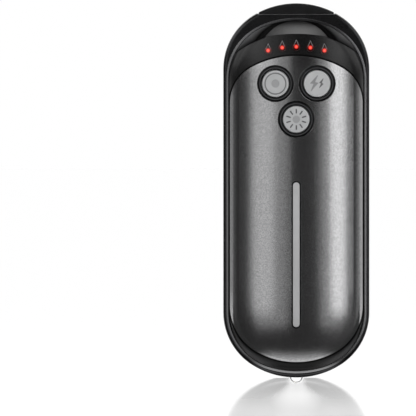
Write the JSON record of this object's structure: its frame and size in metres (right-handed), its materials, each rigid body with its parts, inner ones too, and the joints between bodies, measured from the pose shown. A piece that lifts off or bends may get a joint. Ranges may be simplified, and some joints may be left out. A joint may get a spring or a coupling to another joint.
{
  "type": "rechargeable hand warmer",
  "caption": "Pocket hand warmer with rounded metal faces on a dark frame, push buttons, indicator drops, a light bar, an end torch, a lanyard lug and a covered charging port.",
  "frame": {"origin": "centre of the flat back face, at half the length of the body", "axes": "+Z along the body towards the port cover, +Y out of the flat back, +X to the right of someone who looks at the buttons"},
  "size_m": [0.043, 0.0253, 0.1116],
  "materials": {
    "frame": "satin black paint",
    "cover_rubber": "matte",
    "black_plastic": "satin",
    "plate": "bead blasted, anodised gunmetal",
    "heater_film": "polyimide film",
    "window": "clear red light guide",
    "led": "clear resin",
    "diffuser": "frosted",
    "board": "solder mask",
    "lens": "clear",
    "steel": "plain",
    "chip": "moulded resin",
    "cell": "foil pouch",
    "foam": "foam",
    "wire": "silicone sleeve",
    "ring": "polished black",
    "cap": "satin silver paint",
    "plunger": "moulded"
  },
  "bodies": {
    "body": {"mid_frame": "frame", "front_housing": "black_plastic", "rear_housing": "black_plastic", "front_plate": "plate", "rear_plate": "plate", "front_heater": "heater_film", "rear_heater": "heater_film", "indicator_windows": "window", "indicator_leds": "led", "light_bar": "diffuser", "light_bar_leds": "led", "light_bar_board": "board", "torch_lens": "lens", "torch_led": "led", "torch_board": "board", "torch_holder": "black_plastic", "main_board": "board", "usb_shell": "steel", "usb_tongue": "black_plastic", "control_chip": "chip", "charge_chips": "chip", "power_inductor": "chip", "battery_cell": "cell", "battery_pad": "foam", "battery_board": "board", "housing_screws": "steel", "board_screws": "steel", "battery_leads": "wire", "torch_leads": "wire", "light_bar_leads": "wire", "front_heater_leads": "wire", "rear_heater_leads": "wire", "thermistor": "wire", "heat_button_ring": "ring", "heat_switch": "chip", "power_button_ring": "ring", "power_switch": "chip", "light_button_ring": "ring", "light_switch": "chip"},
    "port_cover": {"port_cover": "cover_rubber"},
    "heat_button": {"heat_button_cap": "cap", "heat_switch_plunger": "plunger"},
    "power_button": {"power_button_cap": "cap", "power_switch_plunger": "plunger"},
    "light_button": {"light_button_cap": "cap", "light_switch_plunger": "plunger"}
  },
  "joints": [
    {"name": "port_cover_pull", "type": "slide", "parent": "body", "child": "port_cover", "axis": [0, 0, 1], "range_m": [0, 0.006]},
    {"name": "heat_button_press", "type": "slide", "parent": "body", "child": "heat_button", "axis": [0, 1, 0], "range_m": [0, 0.0004], "stiffness_N_per_m": 4000, "springref_m": -0.0003},
    {"name": "power_button_press", "type": "slide", "parent": "body", "child": "power_button", "axis": [0, 1, 0], "range_m": [0, 0.0004], "stiffness_N_per_m": 4000, "springref_m": -0.0003},
    {"name": "light_button_press", "type": "slide", "parent": "body", "child": "light_button", "axis": [0, 1, 0], "range_m": [0, 0.0004], "stiffness_N_per_m": 4000, "springref_m": -0.0003}
  ]
}
